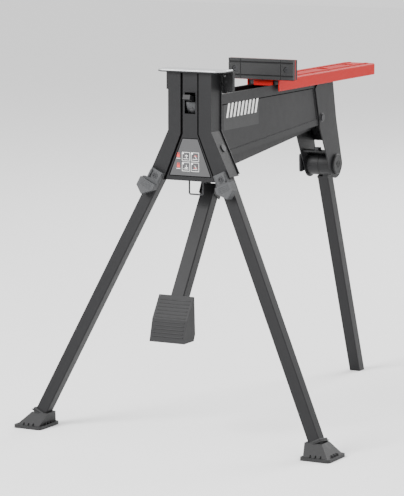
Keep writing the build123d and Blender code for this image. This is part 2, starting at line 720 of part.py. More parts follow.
with BuildPart() as front_foot:
    with BuildSketch(Plane(origin=(front_foot_x, at(front_foot_y), 0))):
        RectangleRounded(foot_width, foot_depth, 8)
    extrude(amount=foot_slab)
    rise = foot_height / (height - leg_pivot_drop)
    top_x = front_foot_x - (front_foot_x - leg_pivot_x) * rise
    top_y = front_foot_y - (front_foot_y - leg_pivot_y) * rise
    with BuildSketch(Plane(origin=(front_foot_x, at(front_foot_y), foot_slab))):
        Rectangle(foot_width - 14, foot_depth - 12)
    with BuildSketch(Plane(origin=(top_x, at(top_y), foot_height))):
        Rectangle(foot_top - 2, foot_top - 6)
    loft()
    with BuildSketch(leg_plane(leg_stop - 80)):
        RectangleRounded(tube, tube, tube_round)
    extrude(amount=80, mode=Mode.SUBTRACT)
keep("front_foot_right", front_foot)
keep("front_foot_left", mirrored(front_foot))

# ---------------------------------------------------------------- leg latches
latch_gap = 0.3
latch_start = flute_end + 1.0
latch_ledge = 84.0
latch_end = 124.0
latch_upper = 12.0
latch_lower = 24.0
leg_front = tube / 2 + latch_gap

with BuildPart() as leg_latch:
    with BuildSketch(Plane(
            origin=leg_frame.from_local_coords((0, leg_front, 0)),
            x_dir=leg_frame.x_dir, z_dir=leg_frame.y_dir)):
        Polygon((-15.5, -latch_start), (15.5, -latch_start), (15.5, -latch_ledge), (27, -latch_ledge - 2),
                     (27, -latch_end + 14), (6, -latch_end), (-15.5, -latch_end + 22), align=None)
    extrude(amount=latch_upper)
    with BuildSketch(Plane(origin=leg_frame.from_local_coords((0, leg_front + latch_upper, 0)),
                           x_dir=leg_frame.x_dir, z_dir=leg_frame.y_dir)):
        Polygon((-15.5, -latch_ledge - 4), (27, -latch_ledge - 4), (27, -latch_end + 14), (6, -latch_end),
                     (-15.5, -latch_end + 22), align=None)
    extrude(amount=latch_lower - latch_upper)
keep("leg_latch_right", leg_latch)
keep("leg_latch_left", mirrored(leg_latch))

# ---------------------------------------------------------------- pedal
pedal_half = belly_half + pedal_cheek_gap
pedal_out = pedal_half + pedal_cheek_wall
spool_y = 89.0
spool_radius = 13.0
link_eye = 17.0
link_radius = 2.5
link_length = 32.0
link_lean = 7.0
link_rise = 30.0
spool_drop = 260.0


def pedal_cheek(x0, x1):
    """Side plate of the pedal bracket."""
    outline = [(132, 222), (103, 244), (98, 271), (84, 298), (113, 316), (135, 285), (153, 272),
               (181, 256), (189, 238), (176, 222), (150, 217)]
    side_sheet(outline, x0, x1)


with BuildPart() as pedal_bracket:
    pedal_cheek(pedal_half, pedal_half + pedal_cheek_wall)
    pedal_cheek(-pedal_half - pedal_cheek_wall, -pedal_half)
    rod_x(pedal_pivot_y, pedal_pivot_drop, pedal_pin_radius + running_gap, -40, 40, mode=Mode.SUBTRACT)
    rod_x(spool_y, spool_drop, spool_pin_radius, -40, 40, mode=Mode.SUBTRACT)
keep("pedal_bracket", pedal_bracket)

with BuildPart() as pedal_pivot_pin:
    rod_x(pedal_pivot_y, pedal_pivot_drop, pedal_pin_radius, -pedal_out - 1.0, pedal_out + 1.0)
    rod_x(pedal_pivot_y, pedal_pivot_drop, 9.0, pedal_out + 1.0, pedal_out + 4.0)
    rod_x(pedal_pivot_y, pedal_pivot_drop, 9.0, -pedal_out - 4.0, -pedal_out - 1.0)
keep("pedal_pivot_pin", pedal_pivot_pin)

with BuildPart() as pedal_spool:
    rod_x(spool_y, spool_drop, spool_pin_radius, -pedal_out - 2.0, pedal_out + 2.0)
    rod_x(spool_y, spool_drop, spool_radius, -pedal_half + 0.5, pedal_half - 0.5)
keep("pedal_spool", pedal_spool)

arm_start_y = 104.0
arm_start_drop = 296.0
pedal_frame = Plane(
    origin=(0, at(arm_start_y), up(arm_start_drop)), x_dir=(1, 0, 0),
    z_dir=(0, -sin(radians(pedal_angle)), -cos(radians(pedal_angle))),
)


def pedal_plane(distance):
    """Plane across the pedal arm at a distance down it."""
    return Plane(origin=pedal_frame.from_local_coords((0, 0, distance)), x_dir=(1, 0, 0),
                 z_dir=pedal_frame.z_dir)


with BuildPart() as pedal_arm:
    with BuildSketch(pedal_plane(-14)):
        RectangleRounded(2 * pedal_half, pedal_tube, tube_round)
        RectangleRounded(2 * pedal_half - 2 * tube_wall, pedal_tube - 2 * tube_wall, tube_round - tube_wall,
                         mode=Mode.SUBTRACT)
    extrude(amount=pedal_arm_length + 14)
keep("pedal_arm", pedal_arm)

tread_wall = 3.0
tread_top = pedal_frame.from_local_coords((0, pedal_tube / 2, pedal_arm_length - 30))


def tread_lines():
    """Back and front lines of the bent tread, as (Y, Z) pairs: flush on the arm, steeper, then back."""
    run = (-sin(radians(pedal_angle)), -cos(radians(pedal_angle)))
    rise = (-cos(radians(pedal_angle)) * tread_wall, sin(radians(pedal_angle)) * tread_wall)
    y, z = tread_top.Y, tread_top.Z
    start = (y - 10 * run[0], z - 10 * run[1])
    bend = (y + 52 * run[0], z + 52 * run[1])
    toe = (bend[0] - 14, bend[1] - 48)
    heel = (bend[0] + 32, bend[1] - 48)
    outer = [(heel[0], heel[1] - tread_wall), (toe[0] - tread_wall, toe[1] - tread_wall),
             (bend[0] + rise[0], bend[1] + rise[1]), (start[0] + rise[0], start[1] + rise[1])]
    return [start, bend, toe, heel], outer


tread_back, tread_front = tread_lines()
with BuildPart() as pedal_tread:
    with BuildSketch(Plane(origin=(-pedal_width / 2, 0, 0), x_dir=(0, 1, 0), z_dir=(1, 0, 0))):
        Polygon(*tread_back, *tread_front, align=None)
    extrude(amount=pedal_width)
    for x in (-pedal_width / 2, pedal_width / 2 - tread_wall):
        with BuildSketch(Plane(origin=(x, 0, 0), x_dir=(0, 1, 0), z_dir=(1, 0, 0))):
            Polygon(*tread_back, (tread_back[3][0] + 6, tread_back[3][1] + 12), align=None)
        extrude(amount=tread_wall)
keep("pedal_tread", pedal_tread)

with BuildPart() as link_rod:
    with BuildSketch(Plane(origin=(0, at(spool_y - 1), up(spool_drop - link_eye + 1)),
                           z_dir=(0, -link_lean, link_rise))):
        Circle(link_radius)
    extrude(amount=link_length)
    rod_x(spool_y, spool_drop, link_eye, -3.0, 3.0)
    rod_x(spool_y, spool_drop, spool_radius + running_gap / 2, -4.0, 4.0, mode=Mode.SUBTRACT)
keep("clutch_link_rod", link_rod)

# ---------------------------------------------------------------- clutch inside the beam
clutch_y = 150.0
with BuildPart() as clutch_carriage:
    block((-24, 24), (clutch_y - 30, clutch_y + 30), (120, 124))
    for y in (clutch_y - 30, clutch_y + 26):
        block((-24, 24), (y, y + 4), (66, 120))
        block((-drive_bar_half - 1, drive_bar_half + 1), (y - 1, y + 5),
              (60, drive_bar_drop + drive_bar_height + 1), mode=Mode.SUBTRACT)
keep("clutch_carriage", clutch_carriage)

with BuildPart() as clutch_plates:
    for y in (clutch_y - 20, clutch_y - 14, clutch_y - 8):
        block((-20, 20), (y, y + 5), (66, 120))
        block((-drive_bar_half - 0.5, drive_bar_half + 0.5), (y - 1, y + 6),
              (60, drive_bar_drop + drive_bar_height + 0.5), mode=Mode.SUBTRACT)
keep("clutch_plates", clutch_plates)

with BuildPart() as carriage_rails:
    for side in (-1, 1):
        block(sorted((side * (beam_half - beam_wall), side * 24.3)), (100, 205), (119, 125))
        block(sorted((side * 26.0, side * 24.0)), (99, 206), (119.8, 124.2), mode=Mode.SUBTRACT)
keep("carriage_rails", carriage_rails)

# ---------------------------------------------------------------- lock lever in the head
lever_y = 36.0
lever_drop = window_top_drop + window_height / 2
lever_angle = 17.0
with BuildPart() as lock_lever:
    rod_x(lever_y, lever_drop, 8.0, -7.0, 7.0)
    plane = Plane(origin=(-7, at(lever_y), up(lever_drop)),
                  x_dir=(0, -cos(radians(lever_angle)), sin(radians(lever_angle))), z_dir=(1, 0, 0))
    with BuildSketch(plane):
        with Locations((26, 0)):
            Rectangle(52, 6)
    extrude(amount=14)
    tab = Plane(origin=(-9.5, at(lever_y), up(lever_drop)), x_dir=plane.x_dir, z_dir=(1, 0, 0))
    with BuildSketch(tab):
        with Locations((44, 0)):
            Rectangle(20, 11)
    extrude(amount=19)
    rod_x(lever_y, lever_drop, 4.0 + running_gap, -20, 20, mode=Mode.SUBTRACT)
keep("lock_lever", lock_lever)

with BuildPart() as lever_bracket:
    for x in (-12.0, 9.0):
        side_sheet([(lever_y - 10, lever_drop - 9), (head_depth + rear_plate_wall, lever_drop - 14),
                    (head_depth + rear_plate_wall, lever_drop + 14),
                    (lever_y - 10, lever_drop + 9)], x, x + 3)
    rod_x(lever_y, lever_drop, 4.0, -20, 20, mode=Mode.SUBTRACT)
    block((-beam_half, beam_half), (head_depth, head_depth + rear_plate_wall), (beam_top_drop, 100))
keep("lever_bracket", lever_bracket)

with BuildPart() as lever_pin:
    rod_x(lever_y, lever_drop, 4.0, -14.0, 14.0)
keep("lock_lever_pin", lever_pin)

# ---------------------------------------------------------------- wire bail under the head
bail_y = 33.0
bail_drop = 254.0
bail_half = 18.0
bail_wire = 2.0
bail_low = 296.0
with BuildPart() as wire_bail:
    with BuildLine() as bail_path:
        FilletPolyline(
            (-bail_half - 8, at(bail_y), up(bail_drop)), (-bail_half, at(bail_y), up(bail_drop)),
            (-bail_half, at(bail_y), up(bail_low)), (bail_half, at(bail_y), up(bail_low)),
            (bail_half, at(bail_y), up(bail_drop)), (bail_half + 8, at(bail_y), up(bail_drop)), radius=4,
        )
    with BuildSketch(Plane(origin=(-bail_half - 8, at(bail_y), up(bail_drop)), z_dir=(1, 0, 0))):
        Circle(bail_wire)
    sweep()
keep("wire_bail", wire_bail)

with BuildPart() as bail_bracket:
    for side in (-1, 1):
        x = sorted((side * (bail_half + 4), side * (bail_half + 7)))
        block(x, (bail_y - 6, head_depth), (bail_drop - 8, bail_drop + 6))
    rod_x(bail_y, bail_drop, bail_wire + running_gap, -40, 40, mode=Mode.SUBTRACT)
    block((-bail_half - 7, bail_half + 7), (head_depth - 2.5, head_depth), (bail_drop - 30, bail_drop + 6))
keep("bail_bracket", bail_bracket)

with BuildPart() as latch_screw:
    screw_at = 72.0
    plane = Plane(origin=leg_frame.from_local_coords((0, leg_front + latch_upper, screw_at)),
                  x_dir=leg_frame.x_dir, z_dir=leg_frame.y_dir)
    with BuildSketch(plane):
        Circle(5.0)
        RegularPolygon(2.4, 6, mode=Mode.SUBTRACT)
    extrude(amount=2.0)
keep("latch_screw_right", latch_screw)
keep("latch_screw_left", mirrored(latch_screw))

os.makedirs("parts", exist_ok=True)
for name, piece in pieces.items():
    export_step(piece.part, f"parts/{name}.step")
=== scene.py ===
"""Looks of the folding clamping sawhorse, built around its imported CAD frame."""

import json
import logging
import math
from dataclasses import dataclass
from enum import Enum
from typing import Any, Iterable, Sequence

import bmesh
import bpy
from mathutils import Matrix, Vector


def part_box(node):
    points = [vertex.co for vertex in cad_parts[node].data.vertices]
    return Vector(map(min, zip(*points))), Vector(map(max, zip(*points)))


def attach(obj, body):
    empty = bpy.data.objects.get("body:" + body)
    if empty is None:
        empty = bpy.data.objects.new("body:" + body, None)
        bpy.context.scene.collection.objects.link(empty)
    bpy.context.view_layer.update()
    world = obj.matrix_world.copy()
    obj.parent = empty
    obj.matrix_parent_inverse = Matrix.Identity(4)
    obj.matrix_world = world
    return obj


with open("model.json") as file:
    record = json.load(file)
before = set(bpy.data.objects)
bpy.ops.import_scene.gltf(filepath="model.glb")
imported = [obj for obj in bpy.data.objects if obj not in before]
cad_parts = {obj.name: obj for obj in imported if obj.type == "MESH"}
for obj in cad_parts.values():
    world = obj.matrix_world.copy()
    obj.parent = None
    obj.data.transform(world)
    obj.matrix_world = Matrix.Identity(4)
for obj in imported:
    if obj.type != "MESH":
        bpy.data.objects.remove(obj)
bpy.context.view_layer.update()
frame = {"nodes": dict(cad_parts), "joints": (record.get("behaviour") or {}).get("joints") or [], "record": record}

log = logging.getLogger("sawhorse")
logging.basicConfig(level=logging.INFO, format="%(name)s: %(message)s")

MM = 0.001
SMOOTH_BELOW = 35.0  # degrees between faces
Colour = tuple[float, float, float, float]


# ---------------------------------------------------------------- places


class Datum:
    """Turns the maker's distances into places in the frame.

    A place is given by how far it is to the right of the middle, how far behind the head's face, and
    how far below the top plate, all in millimetres.
    """

    def __init__(self) -> None:
        """Reads the head's face and the top plate from the CAD."""
        self.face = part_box("head_front_shell")[0].y
        self.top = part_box("top_plate")[1].z

    def at(self, x: float, behind: float, drop: float) -> Vector:
        """Gives the place in metres.

        Args:
            x: Distance to the right of the middle, in millimetres.
            behind: Distance behind the head's face, in millimetres.
            drop: Distance below the top plate, in millimetres.

        Returns:
            The place in the frame.
        """
        return Vector((x * MM, self.face + behind * MM, self.top - drop * MM))


DATUM = Datum()


# ---------------------------------------------------------------- shader maths


class Wire:
    """A shader socket that adds, subtracts and multiplies as a number does."""

    def __init__(self, graph: "Graph", socket: bpy.types.NodeSocket) -> None:
        """Wraps a socket of one graph."""
        self.graph = graph
        self.socket = socket

    def _math(self, operation: str, *values: Any) -> "Wire":
        """Adds one Math node.

        Args:
            operation: What it works out.
            *values: Its inputs, in order.

        Returns:
            Its result.
        """
        node = self.graph.node("ShaderNodeMath", {"operation": operation}, dict(enumerate(values)))
        return Wire(self.graph, node.outputs[0])

    def __add__(self, other: Any) -> "Wire":
        """Sum."""
        return self._math("ADD", self, other)

    def __radd__(self, other: Any) -> "Wire":
        """Sum, reflected."""
        return self._math("ADD", other, self)

    def __sub__(self, other: Any) -> "Wire":
        """Difference."""
        return self._math("SUBTRACT", self, other)

    def __rsub__(self, other: Any) -> "Wire":
        """Difference, reflected."""
        return self._math("SUBTRACT", other, self)

    def __mul__(self, other: Any) -> "Wire":
        """Product."""
        return self._math("MULTIPLY", self, other)

    def __rmul__(self, other: Any) -> "Wire":
        """Product, reflected."""
        return self._math("MULTIPLY", other, self)

    def fade(self, low: float, high: float) -> "Wire":
        """Rises smoothly from 0 at low to 1 at high.

        Args:
            low: Value that gives 0.
            high: Value that gives 1.

        Returns:
            The faded value.
        """
        settings = {"interpolation_type": "SMOOTHSTEP", "clamp": True}
        node = self.graph.node("ShaderNodeMapRange", settings, {0: self, 1: low, 2: high, 3: 0.0, 4: 1.0})
        return Wire(self.graph, node.outputs[0])


class Graph:
    """The nodes of one material, written as expressions."""

    def __init__(self, name: str) -> None:
        """Starts an empty material with its shader and output."""
        self.material = bpy.data.materials.new(name)
        self.material.use_nodes = True
        self.tree = self.material.node_tree
        self.tree.nodes.clear()
        self.shader = self.node("ShaderNodeBsdfPrincipled")
        self.node("ShaderNodeOutputMaterial", {}, {"Surface": self.shader.outputs[0]})

    def node(
        self, kind: str, settings: dict[str, Any] | None = None, sockets: dict[Any, Any] | None = None
    ) -> bpy.types.Node:
        """Adds any node.

        Args:
            kind: Type of the node.
            settings: Its properties, set first.
            sockets: Value, Wire or socket for each input, by name or number.

        Returns:
            The new node.
        """
        node = self.tree.nodes.new(kind)
        for key, value in (settings or {}).items():
            setattr(node, key, value)
        for key, value in (sockets or {}).items():
            if isinstance(value, Wire):
                value = value.socket
            if isinstance(value, bpy.types.NodeSocket):
                self.tree.links.new(value, node.inputs[key])
            else:
                node.inputs[key].default_value = value
        return node

    def place(self, scale: Sequence[float] = (1.0, 1.0, 1.0)) -> Wire:
        """Object coordinates, scaled.

        Args:
            scale: Scale along each axis.

        Returns:
            The coordinates.
        """
        source = self.node("ShaderNodeTexCoord").outputs["Object"]
        node = self.node("ShaderNodeMapping", {}, {"Vector": source, "Scale": scale})
        return Wire(self, node.outputs[0])

    def noise(self, scale: float, detail: float = 2.0, rough: float = 0.5, where: Wire | None = None) -> Wire:
        """Noise from 0 to 1.

        Args:
            scale: Waves per metre.
            detail: Octaves.
            rough: Strength of the finer octaves.
            where: Coordinates, or the object's own.

        Returns:
            The noise.
        """
        sockets = {"Vector": where or self.place(), "Scale": scale, "Detail": detail, "Roughness": rough}
        return Wire(self, self.node("ShaderNodeTexNoise", {}, sockets).outputs[0])

    def cells(self, scale: float) -> Wire:
        """Distance to the middle of the nearest cell.

        Args:
            scale: Cells per metre.

        Returns:
            The distance, from 0.
        """
        sockets = {"Vector": self.place(), "Scale": scale}
        return Wire(self, self.node("ShaderNodeTexVoronoi", {}, sockets).outputs[0])

    def blend(self, share: Any, first: Any, second: Any) -> Wire:
        """Mixes two colours.

        Args:
            share: 0 for the first, 1 for the second.
            first: Colour or wire.
            second: Colour or wire.

        Returns:
            The mixed colour.
        """
        node = self.node("ShaderNodeMix", {"data_type": "RGBA"}, {0: share, 6: first, 7: second})
        return Wire(self, node.outputs[2])

    def upward(self) -> Wire:
        """1 on faces that look up, 0 on upright ones."""
        normal = self.node("ShaderNodeNewGeometry").outputs["Normal"]
        parts = self.node("ShaderNodeSeparateXYZ", {}, {0: normal})
        return Wire(self, parts.outputs[2]).fade(0.35, 0.95)

    def relief(self, height: Wire, depth: float) -> Wire:
        """A bump.

        Args:
            height: The height, from 0 to 1.
            depth: What 1 stands for, in metres.

        Returns:
            The normal.
        """
        node = self.node("ShaderNodeBump", {}, {"Strength": 1.0, "Distance": depth, "Height": height})
        return Wire(self, node.outputs[0])

    def finish(self, **sockets: Any) -> bpy.types.Material:
        """Sets the shader's sockets.

        Args:
            **sockets: Value or wire for each, with _ for a space in its name.

        Returns:
            The material.
        """
        for key, value in sockets.items():
            socket = self.shader.inputs[key.replace("_", " ")]
            if isinstance(value, Wire):
                self.tree.links.new(value.socket, socket)
            else:
                socket.default_value = value
        return self.material


def shade(colour: Sequence[float], share: float) -> Colour:
    """A colour made lighter or darker.

    Args:
        colour: Red, green and blue.
        share: What each is multiplied by.

    Returns:
        The colour with its alpha.
    """
    return (colour[0] * share, colour[1] * share, colour[2] * share, 1.0)


# ---------------------------------------------------------------- finishes


@dataclass(frozen=True)
class PowderCoat:
    """Baked paint with a fine skin, faint patches, handling scuffs and a little dust on top."""

    name: str
    colour: tuple[float, float, float]
    gloss: float = 0.42
    skin_scale: float = 620.0
    skin_depth: float = 0.00012
    scuffs: float = 0.35
    dust: float = 0.25
    lift: float = 1.9
    shine: float = 0.32

    def build(self) -> bpy.types.Material:
        """Makes the material.

        Returns:
            The material.
        """
        g = Graph(self.name)
        skin = g.noise(self.skin_scale, 3.0, 0.6)
        broad = g.noise(7.0, 4.0, 0.55)
        mottle = g.noise(55.0, 3.0, 0.6)
        streaks = g.noise(1.0, 5.0, 0.72, g.place((160.0, 14.0, 160.0)))
        marks = streaks.fade(0.66, 0.74) * broad.fade(0.45, 0.62) * self.scuffs
        settled = g.upward() * mottle.fade(0.35, 0.7) * self.dust
        base = g.blend(broad, shade(self.colour, 0.86), shade(self.colour, 1.16))
        base = g.blend(skin.fade(0.5, 0.75) * 0.3, base, shade(self.colour, self.lift))
        base = g.blend(marks, base, shade([c * 0.6 + 0.05 for c in self.colour], 1.0))
        base = g.blend(settled * 0.35, base, (0.30, 0.29, 0.27, 1.0))
        rough = self.gloss + (broad - 0.5) * 0.12 + (mottle - 0.5) * 0.10 + marks * 0.25 + settled * 0.3
        height = skin * 0.8 + mottle * 0.2
        return g.finish(
            Base_Color=base, Roughness=rough, Normal=g.relief(height, self.skin_depth), Specular_IOR_Level=self.shine
        )


@dataclass(frozen=True)
class PlatedSteel:
    """Bright plate with brushed lines, a speckled bloom and rubbed patches."""

    name: str
    colour: tuple[float, float, float]
    gloss: float = 0.38
    metal: float = 0.85
    lines: tuple[float, float, float] = (6.0, 420.0, 420.0)
    bloom: float = 0.5

    def build(self) -> bpy.types.Material:
        """Makes the material.

        Returns:
            The material.
        """
        g = Graph(self.name)
        brushed = g.noise(1.0, 4.0, 0.65, g.place(self.lines))
        speckle = g.noise(340.0, 3.0, 0.7)
        broad = g.noise(12.0, 4.0, 0.6)
        spots = speckle.fade(0.54, 0.68) * self.bloom
        base = g.blend(brushed, shade(self.colour, 0.80), shade(self.colour, 1.12))
        base = g.blend(spots, base, shade(self.colour, 0.62))
        base = g.blend(broad.fade(0.5, 0.8) * 0.3, base, shade(self.colour, 1.2))
        rough = self.gloss + (brushed - 0.5) * 0.18 + spots * 0.25 + (broad - 0.5) * 0.15
        metal = self.metal - spots * 0.35
        height = brushed * 0.6 + speckle * 0.4
        return g.finish(Base_Color=base, Roughness=rough, Metallic=metal, Normal=g.relief(height, 0.00008))


@dataclass(frozen=True)
class MouldedPlastic:
    """Moulded plastic with a spark-eroded grain, flow marks and worn high spots."""

    name: str
    colour: tuple[float, float, float]
    gloss: float = 0.55
    grain_scale: float = 900.0
    grain_depth: float = 0.0002
    wear: float = 0.3

    def build(self) -> bpy.types.Material:
        """Makes the material.

        Returns:
            The material.
        """
        g = Graph(self.name)
        grain = g.cells(self.grain_scale)
        fine = g.noise(self.grain_scale * 1.7, 2.0, 0.6)
        flow = g.noise(1.0, 3.0, 0.6, g.place((18.0, 18.0, 60.0)))
        broad = g.noise(30.0, 4.0, 0.6)
        rubbed = broad.fade(0.55, 0.75) * self.wear
        base = g.blend(flow, shade(self.colour, 0.85), shade(self.colour, 1.18))
        base = g.blend(grain.fade(0.25, 0.6) * 0.35, base, shade(self.colour, 1.7))
        base = g.blend(rubbed, base, shade([c + 0.015 for c in self.colour], 1.1))
        rough = self.gloss + (flow - 0.5) * 0.1 + (fine - 0.5) * 0.16 - rubbed * 0.2
        height = grain * 0.6 + fine * 0.4
        return g.finish(
            Base_Color=base, Roughness=rough, Normal=g.relief(height, self.grain_depth), Specular_IOR_Level=0.35
        )


@dataclass(frozen=True)
class OiledSteel:
    """Dark oxide steel with turned marks, an oily bloom and bright rubbed spots."""

    name: str
    colour: tuple[float, float, float]
    gloss: float = 0.4
    metal: float = 0.8
    bright: float = 0.35

    def build(self) -> bpy.types.Material:
        """Makes the material.

        Returns:
            The material.
        """
        g = Graph(self.name)
        turned = g.noise(1.0, 3.0, 0.6, g.place((900.0, 60.0, 60.0)))
        oil = g.noise(80.0, 4.0, 0.6)
        rubbed = oil.fade(0.56, 0.72) * self.bright
        base = g.blend(turned, shade(self.colour, 0.8), shade(self.colour, 1.25))
        base = g.blend(rubbed, base, shade([c + 0.16 for c in self.colour], 1.0))
        rough = self.gloss + (oil - 0.5) * 0.25 + (turned - 0.5) * 0.12
        return g.finish(
            Base_Color=base, Roughness=rough, Metallic=self.metal, Normal=g.relief(turned, 0.00005)
        )


@dataclass(frozen=True)
class PrintAndPaintedShade:
    """A printed sticker or ink, also used for flat sheets of painted shade, with a slightly broken surface."""

    name: str
    colour: tuple[float, float, float]
    gloss: float = 0.5
    shine: float = 0.35

    def build(self) -> bpy.types.Material:
        """Makes the material.

        Returns:
            The material.
        """
        g = Graph(self.name)
        fleck = g.noise(800.0, 3.0, 0.6)
        broad = g.noise(25.0, 3.0, 0.5)
        base = g.blend(broad, shade(self.colour, 0.92), shade(self.colour, 1.05))
        base = g.blend(fleck.fade(0.6, 0.75) * 0.25, base, shade(self.colour, 0.75))
        rough = self.gloss + (fleck - 0.5) * 0.15
        return g.finish(
            Base_Color=base, Roughness=rough, Normal=g.relief(fleck, 0.00003), Specular_IOR_Level=self.shine
        )


class Finish(Enum):
    """The finishes of the sawhorse."""

    FRAME = PowderCoat("charcoal_powder_coat", (0.0080, 0.0080, 0.0088), 0.48, dust=0.08, shine=0.24)
    ARM = PowderCoat(
        "red_powder_coat", (0.40, 0.0035, 0.002), 0.50, 480.0, 0.00010, 0.10, 0.02, lift=1.15, shine=0.16
    )
    PLATE = PlatedSteel("silver_top_plate", (0.62, 0.63, 0.64))
    PAD = MouldedPlastic("black_jaw_plastic", (0.009, 0.009, 0.0095), 0.52, 700.0)
    LATCH = MouldedPlastic("grey_latch_plastic", (0.040, 0.041, 0.043), 0.64, 620.0, 0.0004)
    FOOT = MouldedPlastic("black_foot_plastic", (0.012, 0.012, 0.0125), 0.6, 520.0, 0.0003)
    SLIDE = MouldedPlastic("slide_plastic", (0.03, 0.03, 0.032), 0.45, 1200.0, 0.0001)
    FASTENER = OiledSteel("black_fastener", (0.022, 0.022, 0.024), 0.45, 0.45, 0.15)
    CLUTCH = OiledSteel("clutch_steel", (0.22, 0.22, 0.23), 0.35, 0.9, 0.4)
    LABEL = PrintAndPaintedShade("label_grey", (0.058, 0.058, 0.060), 0.55)
    INK = PrintAndPaintedShade("label_white", (0.80, 0.80, 0.79), 0.5)
    MARK = PrintAndPaintedShade("label_red", (0.62, 0.05, 0.04), 0.5)
    # Near-black sheet: painted shade in the head's folds, round the label and under the beam panel's top edge.
    PAINTED_SHADE = PrintAndPaintedShade("painted_shade_black", (0.0015, 0.0015, 0.0015), 0.9, 0.02)
    # Lighter, shinier charcoal: painted highlights along the beam panel's lower and rear step edges.
    CREASE = PowderCoat("painted_highlight_charcoal", (0.026, 0.026, 0.027), 0.42, dust=0.08, shine=0.4)
    PATCH = PowderCoat("patch_charcoal", (0.0125, 0.0125, 0.0132), 0.42, dust=0.08, shine=0.3)


class Paintbox:
    """Makes each finish once."""

    def __init__(self) -> None:
        """Starts empty."""
        self.made: dict[Finish, bpy.types.Material] = {}

    def get(self, finish: Finish) -> bpy.types.Material:
        """The material of a finish.

        Args:
            finish: The finish.

        Returns:
            Its material, made at its first use.
        """
        if finish not in self.made:
            self.made[finish] = finish.value.build()
        return self.made[finish]


PAINT = Paintbox()

SLOT_FINISH: dict[str, Finish] = {
    "black_powder_coat": Finish.FRAME,
    "red_powder_coat": Finish.ARM,
    "silver_plate": Finish.PLATE,
    "black_jaw_plastic": Finish.PAD,
    "grey_latch_plastic": Finish.LATCH,
    "foot_plastic": Finish.FOOT,
    "black_fastener": Finish.FASTENER,
    "slide_plastic": Finish.SLIDE,
    "clutch_steel": Finish.CLUTCH,
}


# ---------------------------------------------------------------- shapes


class Shape:
    """A bmesh that is shaped by operators and then becomes a piece."""

    def __init__(self) -> None:
        """Starts empty."""
        self.bm = bmesh.new()

    def move(self, verts: Iterable[Any], matrix: Matrix) -> None:
        """Moves points by a matrix.

        Args:
            verts: The points.
            matrix: Where they go.
        """
        bmesh.ops.transform(self.bm, matrix=matrix, verts=list(verts))

    def block(self, size: Sequence[float], matrix: Matrix, soften: float = 0.0, segments: int = 2) -> list[Any]:
        """A box with softened edges.

        Args:
            size: Its three sides, in millimetres.
            matrix: Where it goes.
            soften: Radius of its edges, in millimetres.
            segments: Segments of each softened edge.

        Returns:
            Its points.
        """
        made = bmesh.ops.create_cube(self.bm, size=1.0)["verts"]
        bmesh.ops.scale(self.bm, vec=Vector(size) * MM, verts=made)
        if soften:
            edges = list({e for v in made for e in v.link_edges})
            cut = bmesh.ops.bevel(
                self.bm, geom=edges, offset=soften * MM, offset_type="OFFSET", segments=segments, profile=0.5,
                affect="EDGES", material=-1, clamp_overlap=True,
            )
            made = list({v for f in cut["faces"] for v in f.verts} | {v for v in made if v.is_valid})
        self.move(made, matrix)
        return made

    def outline(self, points: Sequence[Sequence[float]], matrix: Matrix, height: float) -> list[Any]:
        """A flat plate from its outline.

        Args:
            points: Outline in the plate's own plane, in millimetres.
            matrix: Where it goes; its own Z is the plate's outward side.
            height: Its thickness, in millimetres.

        Returns:
            Its points.
        """
        verts = [self.bm.verts.new(Vector((x * MM, y * MM, 0.0))) for x, y in points]
        face = self.bm.faces.new(verts)
        face.normal_update()
        if face.normal.z < 0:
            face.normal_flip()
        grown = bmesh.ops.extrude_face_region(self.bm, geom=[face], use_keep_orig=True)["geom"]
        top = [v for v in grown if isinstance(v, bmesh.types.BMVert)]
        bmesh.ops.translate(self.bm, vec=Vector((0.0, 0.0, height * MM)), verts=top)
        bmesh.ops.recalc_face_normals(self.bm, faces=list({f for v in verts + top for f in v.link_faces}))
        self.move(verts + top, matrix)
        return verts + top

    def turned(self, profile: Sequence[Sequence[float]], matrix: Matrix, steps: int = 40) -> list[Any]:
        """A turned solid.

        Args:
            profile: (radius, height) pairs in millimetres; both ends lie on the axis or meet.
            matrix: Where it goes; the axis is its own Z.
            steps: Steps of the full turn.

        Returns:
            Its points.
        """
        line = [self.bm.verts.new(Vector((r * MM, 0.0, h * MM))) for r, h in profile]
        edges = [self.bm.edges.new(pair) for pair in zip(line, line[1:])]
        before = set(self.bm.verts)
        bmesh.ops.spin(
            self.bm, geom=line + edges, cent=(0, 0, 0), axis=(0, 0, 1), angle=math.tau, steps=steps, use_merge=True
        )
        made = [v for v in self.bm.verts if v not in before] + line
        bmesh.ops.remove_doubles(self.bm, verts=[v for v in made if v.is_valid], dist=0.000002)
        made = [v for v in made if v.is_valid]
        bmesh.ops.recalc_face_normals(self.bm, faces=list({f for v in made for f in v.link_faces}))
        self.move(made, matrix)
        return made

    def bead(self, start: Vector, end: Vector, radius: float, count: int, squash: float = 0.6) -> None:
        """A weld bead of overlapping scales.

        Args:
            start: Where it starts.
            end: Where it ends.
            radius: Radius of a scale, in millimetres.
            count: How many scales.
            squash: Their height as a share of their width.
        """
        for k in range(count):
            where = start.lerp(end, k / max(count - 1, 1))
            made = bmesh.ops.create_icosphere(self.bm, subdivisions=2, radius=radius * MM)["verts"]
            bmesh.ops.scale(self.bm, vec=(1.0, 1.0, squash), verts=made)
            self.move(made, Matrix.Translation(where))

    def piece(self, name: str, body: str, slot: str, finish: Finish) -> None:
        """Turns the bmesh into a piece that rides on a body.

        Args:
            name: Name of the piece.
            body: CAD body that it rides on.
            slot: Not used.
            finish: Its finish.
        """
        mesh = bpy.data.meshes.new(name)
        for face in self.bm.faces:
            face.smooth = True
        limit = math.radians(SMOOTH_BELOW)
        for edge in self.bm.edges:
            edge.smooth = len(edge.link_faces) != 2 or edge.calc_face_angle(0.0) < limit
        self.bm.to_mesh(mesh)
        self.bm.free()
        obj = bpy.data.objects.new(name, mesh)
        bpy.context.scene.collection.objects.link(obj)
        mesh.materials.append(PAINT.get(finish))
        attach(obj, body)
        log.info("%s rides on %s", name, body)


